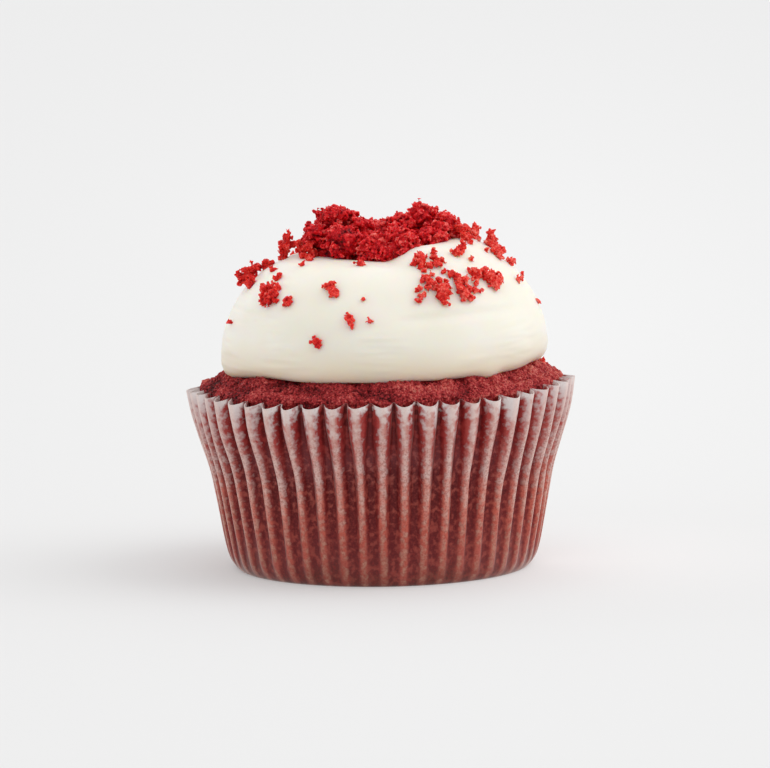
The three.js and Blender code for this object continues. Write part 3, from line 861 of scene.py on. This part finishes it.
# The strewn crumbs' lumps, as (right, height, diameter) where they are seen from the front.
STREWN = [
    # Trailing off the heap, on the right
    [(14.2, 59.1, 1.6), (15.2, 58.9, 1.9), (16.8, 59.6, 1), (16.9, 58.5, 1.5), (17.5, 57.3, 0.8),
     (15, 57.4, 1.9), (16.2, 56.6, 1), (14.6, 55.9, 1.5), (13.5, 54.9, 1.5), (14.4, 55.1, 1.1)],
    [(15.7, 54.7, 1), (16, 53.8, 0.9)],
    # On the right shoulder
    [(19.5, 58.3, 1.3), (19.7, 57.2, 1.6), (19.7, 56.2, 2), (20.4, 55, 2.2), (21, 54.1, 1.2),
     (18.7, 55.3, 0.8), (21.2, 55.4, 1.2)],
    [(22.9, 52.9, 1.4), (23.5, 53.2, 1), (23.1, 52.2, 0.8)],
    [(24.3, 50, 1), (24.8, 50.1, 0.9), (25, 51, 0.8)], [(27.6, 46.1, 1.1)],
    # On the left shoulder
    [(-15.9, 59.2, 0.9), (-16.1, 58.1, 1.5), (-16.2, 56.7, 2), (-16.6, 55.2, 1.7), (-14.9, 56.8, 1.3),
     (-14.1, 57, 1.1)],
    [(-13.2, 55.9, 1.7), (-13.1, 54.6, 1.6), (-13.4, 53.3, 0.9), (-12.1, 54.2, 1.5), (-11.5, 55.2, 1.6),
     (-12.2, 56.2, 1.7)],
    [(-24.3, 51.2, 1.5), (-23.2, 51, 2), (-22.5, 49.9, 1.9), (-23.1, 52.3, 1.5), (-21.9, 52.4, 1.5),
     (-22.3, 53.6, 0.7), (-20.9, 52.8, 1.4), (-19.8, 52.8, 1.5), (-19.6, 53.9, 0.9), (-18.8, 53.4, 1.2),
     (-18.6, 52.4, 1.2), (-21.8, 51, 1.3)],
    [(-17.6, 51.3, 1), (-18.2, 50.7, 1)],
    [(-20.1, 49, 1.7), (-18.9, 49.2, 1.4), (-17.8, 49.3, 1.3), (-20.2, 47.6, 1.6), (-18.7, 47.9, 1.9),
     (-20.2, 46.7, 1.1), (-19.3, 46.5, 1.2), (-18.2, 46.9, 1)],
    [(-16.1, 46.7, 1.6), (-15.6, 47.4, 0.8)],
    # Down the front
    [(-9.3, 49.3, 1), (-8.6, 49.3, 1.5), (-8.2, 48.4, 1.4), (-7.6, 47.8, 1)],
    [(-2.8, 47.1, 0.9)], [(-5.4, 43.7, 1.4), (-5.2, 42.7, 1.2), (-4.9, 42, 0.8)],
    [(-1.8, 43, 0.9)], [(-11.3, 39.7, 1.3), (-10.9, 38.8, 1.2)], [(-26.1, 43.2, 0.9)],
    [(-3.3, 53.2, 1.5), (-3.7, 54, 1)],
    # The scattered group on the right
    [(7.2, 54.4, 1.5), (7.3, 53.6, 1.9), (6.3, 53.1, 1.2), (7.3, 52.7, 1.2), (8.6, 52.6, 1.2),
     (7.8, 51.6, 0.9)],
    [(9.6, 55, 1.1), (9.7, 53.9, 1.3), (9.9, 52.9, 1.2), (11, 53.6, 1.2), (10.7, 52.9, 1)],
    [(11.3, 51.6, 1)],
    [(9, 51.1, 0.9), (7.3, 50, 1.1), (8.2, 50.4, 1.3), (9, 49.6, 1.7), (8.4, 48.8, 1.2)],
    [(6.7, 48.4, 1.2), (7.1, 47.3, 1.3), (7.9, 47.4, 0.8), (6.6, 46.5, 1.1)],
    [(10.5, 50, 1.2), (10.1, 48.7, 1.3), (11, 48.5, 2), (11.8, 49, 1.4), (11, 47.2, 1.8),
     (11.3, 46, 1.1), (12, 47.6, 1)],
    [(11.6, 50, 1), (12.5, 51, 1.2), (13.5, 50.7, 1.6), (14.2, 49.8, 1.5), (14.2, 48.6, 1.7),
     (14.9, 47.4, 1.8), (15.9, 46.8, 1.3), (15.6, 48.4, 1.4), (16.8, 48.2, 1.2), (17.6, 48, 0.9)],
    [(15.2, 50.3, 1.1), (16.3, 51.5, 1.3), (16.9, 51.1, 1.8), (18.1, 51.3, 1.7), (16.9, 49.4, 1.2),
     (18.6, 50.6, 1.5), (19.7, 49.9, 1.9), (20.2, 49.1, 1.4), (21, 50.2, 1.4), (19.8, 51, 1.3)],
    [(28.1, 35.2, 1.4)],
]
ABOVE = 80  # a height clear of the whole cake
BACK_CLUSTERS = 18
BACK_TURNS = (math.radians(100), math.radians(260))
BACK_RADII = (13, 24)
BACK_SIZES = (1.1, 2)
BACK_LUMPS = (1, 6)  # from 1 to 5 in a cluster
BACK_LUMP_SHARES = (0.7, 1.2)  # of the cluster's size
BACK_SPREAD = 0.9  # how far a cluster's lumps spread, of their size
KNOBS = 7
KNOBBED = 0.95  # a lump's size once it has knobs, of its size before
KNOB_REACH = (0.5, 0.68)
KNOB_SIZES = (0.3, 0.5)
CRUMB_SINK = 0.3  # how high a lump's centre stands above the frosting, of its diameter
GRAZING = 0.3  # a surface seen more edge-on than this counts as this much turned towards the eye
PLUMP = 1.12  # a strewn lump's size before it is torn, of its size after


def resting_place(surface, right, height, diameter):
    """Where a lump rests on the surface, along the line of sight through a point above the base."""
    start = CAMERA_PLACE / MM
    middle = Vector((right, 0, height))
    sight = (middle - start).normalized()
    foot, outward, *_ = surface.ray_cast(start, sight)
    if foot is None:  # the lump stands up on the skyline
        foot = surface.find_nearest(middle)[0]
        return start + sight * ((foot.y - start.y) / sight.y)
    return foot - sight * (CRUMB_SINK * diameter / max(GRAZING, -sight.dot(outward)))


def with_knobs(lumps, random):
    """The lumps a little smaller, with many small knobs on each, which make it ragged."""
    ragged = []
    for x, y, z, diameter in lumps:
        ragged.append((x, y, z, KNOBBED * diameter))
        for _ in range(KNOBS):
            away = random.normal(size=3)
            away *= random.uniform(*KNOB_REACH) * diameter / np.linalg.norm(away)
            size = random.uniform(*KNOB_SIZES) * diameter
            ragged.append((x + away[0], y + away[1], z + away[2], size))
    return ragged


def heaped_lumps(random):
    """Crumbs of all sizes over the upper side of the heap's core."""
    core = np.array(HEAP)
    crumbs = []
    while len(crumbs) < HEAP_CRUMBS:
        lump = core[random.integers(len(core))]
        away = random.normal(size=3)
        place = lump[:3] + away * (lump[3] / 2 / np.linalg.norm(away))
        depths = core[:, 3] / 2 - np.linalg.norm(core[:, :3] - place, axis=1)
        if depths.max() < HEAP_CRUMB_DEPTH and away[2] > HEAP_CRUMB_LOWEST:
            size = random.uniform(*HEAP_CRUMB_SIZES) * random.uniform(*HEAP_CRUMB_SHARES)
            crumbs.append((*place, size))
    return crumbs


def back_clusters(surface, random):
    """Crumbs strewn over the back as they are over the front."""
    clusters = []
    for _ in range(BACK_CLUSTERS):
        turn = random.uniform(*BACK_TURNS)
        radius = random.uniform(*BACK_RADII)
        size = random.uniform(*BACK_SIZES)
        clusters.append([])
        for _ in range(random.integers(*BACK_LUMPS)):
            place = ring_of(radius, ABOVE, turn) + random.normal(size=3) * BACK_SPREAD * size
            foot, outward, *_ = surface.ray_cast(Vector(place), Vector((0, 0, -1)))
            middle = foot + outward * CRUMB_SINK * size
            clusters[-1].append((*middle, size * random.uniform(*BACK_LUMP_SHARES)))
    return clusters


def join(name, parts, material):
    """One piece of one material from several."""
    whole = bmesh.new()
    for part in parts:
        whole.from_mesh(part.data)
        bpy.data.objects.remove(part)
    for face in whole.faces:
        face.material_index = 0
        face.smooth = True
    mesh = bpy.data.meshes.new(name)
    whole.to_mesh(mesh)
    whole.free()
    mesh.materials.append(material)
    return new_object(name, mesh)


def make_crumbs():
    random = np.random.default_rng(5)
    core = torn_crumb("heap_core", HEAP, seed=0.1, smallest_island=200, voxel=0.25,
                      lump_size=2.4, lump_depth=1.8, grain_size=0.9, grain_depth=1.6,
                      chip_size=0.6, chip_depth=0.9)
    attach(core, "root")
    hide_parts("crumb_heap")
    heaped = torn_crumb("heaped_crumbs", with_knobs(heaped_lumps(random), random), seed=0.2,
                        smallest_island=160, voxel=0.22, lump_size=1.6, lump_depth=0.8,
                        grain_size=0.7, grain_depth=1.3, chip_size=0.5, chip_depth=0.8)
    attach(heaped, "root")

    points, faces = [], []
    for piece in (frosting, core, heaped):
        faces += [[len(points) + index for index in face.vertices] for face in piece.data.polygons]
        points += [vertex.co / MM for vertex in piece.data.vertices]
    surface = BVHTree.FromPolygons(points, faces)
    clusters = [[(*resting_place(surface, *lump), PLUMP * lump[2]) for lump in lumps]
                for lumps in STREWN]
    clusters += back_clusters(surface, random)
    crumbs = [torn_crumb("crumb", with_knobs(lumps, random), seed=0.1 + 0.01 * number,
                         smallest_island=90, voxel=0.165, lump_size=1.4, lump_depth=0.4,
                         grain_size=0.7, grain_depth=0.6, chip_size=0.45, chip_depth=0.45)
              for number, lumps in enumerate(clusters)]
    # The strewn crumbs wear the sponge that is painted lighter.
    strewn = join("strewn_crumbs", crumbs, PAINTED_LIT_CRUMB)
    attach(strewn, "root")


make_crumbs()


# ---- Studio ----
FLOOR_COLOUR = "#c2c2c2"
FLOOR_GLOW = 0.29  # the floor is a lit white sheet, which keeps the shadows pale
POOL_PLACE = (0.03, 0.35, 0)  # the middle of the light that falls on the floor, in metres
POOL_SIZE = (0.24, 1.4, 1)  # half of its width and of its length
POOL_EDGE = 0.75  # how bright the floor is outside it
FILL_PLACE = (0.03, 0, 0)  # a painted pool of light on the floor on the right, which takes out the case's shadow beside it
FILL_SIZE = (0.063, 0.07, 1)
FILL_GLOW = 0.55  # of the floor's own glow
SKY_DARK = "#ebebeb"  # from the left
SKY_BRIGHT = "#ffffff"  # from the right
SKY_STRENGTH = 1.1
SUN_STRENGTH = 0.58
SUN_FROM = Vector((0.8, -0.05, 0.8))
SUN_WIDTH = math.radians(45)
# The sky's strength changes along its X (right), Y (back) and Z (up), as (axis, from, to, share from
# there, share at the end).
SKY_SHARES = [("Y", -1.0, 0.0, 0.62, 1.0), ("Y", 0.0, 1.0, 1.0, 0.95), ("Z", 0.0, 1.0, 0.9, 1.12),
              ("X", -1.0, -0.1, 1.3, 1.0), ("X", 0.1, 1.0, 1.0, 1.1)]


def make_backdrop():
    """A wide level sheet, with its corners in metres."""
    mesh = bpy.data.meshes.new("backdrop")
    mesh.from_pydata([(-4, -2, 0), (4, -2, 0), (4, 6, 0), (-4, 6, 0)], [], [(0, 1, 2, 3)])
    material, tree, shader, place = new_material("lit white backdrop", {
        "Base Color": linear(FLOOR_COLOUR), "Emission Strength": FLOOR_GLOW, "Roughness": 0.9,
        "Specular IOR Level": 0.05})
    pool, fill = (add(tree, "ShaderNodeTexGradient", {
        "Vector": add(tree, "ShaderNodeMapping", {"Vector": place, "Location": middle, "Scale": size},
                      vector_type="TEXTURE")}, gradient_type="QUADRATIC_SPHERE")
        for middle, size in ((POOL_PLACE, POOL_SIZE), (FILL_PLACE, FILL_SIZE)))
    lit = add(tree, "ShaderNodeMapRange", {"Value": pool, "To Min": POOL_EDGE})
    # Painted light: the fill adds glow to the floor beside the case, where its shadow would fall.
    glow = add(tree, "ShaderNodeMath", (fill, FILL_GLOW, lit), operation="MULTIPLY_ADD")
    white = add(tree, "ShaderNodeCombineColor", (glow, glow, glow))
    tree.links.new(white.outputs["Color"], shader.inputs["Emission Color"])
    mesh.materials.append(material)
    backdrop = new_object("backdrop", mesh)


def make_sky():
    world = bpy.data.worlds.new("studio")
    world.use_nodes = True
    tree = world.node_tree
    direction = add(tree, "ShaderNodeTexCoord").outputs["Generated"]
    along = add(tree, "ShaderNodeSeparateXYZ", {"Vector": direction}).outputs
    strength = SKY_STRENGTH
    for axis, *shares in SKY_SHARES:
        factor = add(tree, "ShaderNodeMapRange", (along[axis], *shares))
        strength = add(tree, "ShaderNodeMath", (factor, strength), operation="MULTIPLY")
    share = add(tree, "ShaderNodeMapRange", (along["X"], -1.0, 1.0))
    sky = add(tree, "ShaderNodeMix", {"Factor": share, "A": linear(SKY_DARK),
                                      "B": linear(SKY_BRIGHT)}, data_type="RGBA")
    background = tree.nodes["Background"]
    tree.links.new(sky.outputs["Result"], background.inputs["Color"])
    tree.links.new(strength.outputs["Value"], background.inputs["Strength"])
    bpy.context.scene.world = world


def make_softbox():
    data = bpy.data.lights.new("softbox", "SUN")
    data.energy = SUN_STRENGTH
    data.angle = SUN_WIDTH
    lamp = new_object("softbox", data)
    lamp.rotation_euler = SUN_FROM.to_track_quat("Z", "Y").to_euler()


make_backdrop()
make_sky()
make_softbox()
bpy.context.scene.view_settings.view_transform = "Standard"
